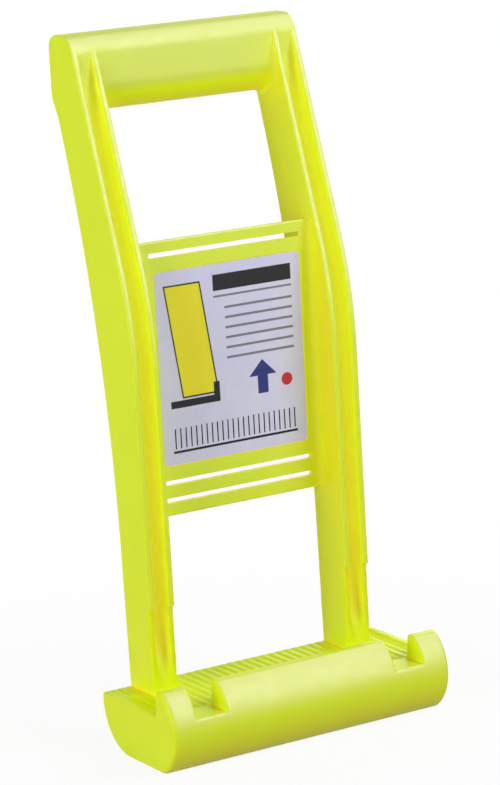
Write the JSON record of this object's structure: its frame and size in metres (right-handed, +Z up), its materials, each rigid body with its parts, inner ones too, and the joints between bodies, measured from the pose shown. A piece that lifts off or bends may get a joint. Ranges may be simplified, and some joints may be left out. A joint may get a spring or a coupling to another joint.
{
  "type": "panel carrier",
  "caption": "One-hand carrier for sheet material: a ribbed ledge behind a notched lip, cranked channel rails, a slotted label panel and an offset grip on top.",
  "frame": {"origin": "centre of the flat sole on the floor", "axes": "+Z up from the sole to the grip, +Y to the back, where the grip is offset, X across the carrier"},
  "size_m": [0.1596, 0.1099, 0.3434],
  "materials": {
    "moulding": "satin moulded plastic, fluorescent yellow-green",
    "paper": "smooth pale printed paper"
  },
  "bodies": {
    "root": {"grip_bar": "moulding", "left_outer_wall": "moulding", "left_inner_wall": "moulding", "left_web": "moulding", "left_foot": "moulding", "right_outer_wall": "moulding", "right_inner_wall": "moulding", "right_web": "moulding", "right_foot": "moulding", "centre_panel": "moulding", "ledge": "moulding", "front_skin": "moulding", "sole": "moulding", "back_skin": "moulding", "left_lip": "moulding", "centre_lip": "moulding", "right_lip": "moulding", "left_end": "moulding", "right_end": "moulding", "label": "paper"}
  },
  "joints": []
}
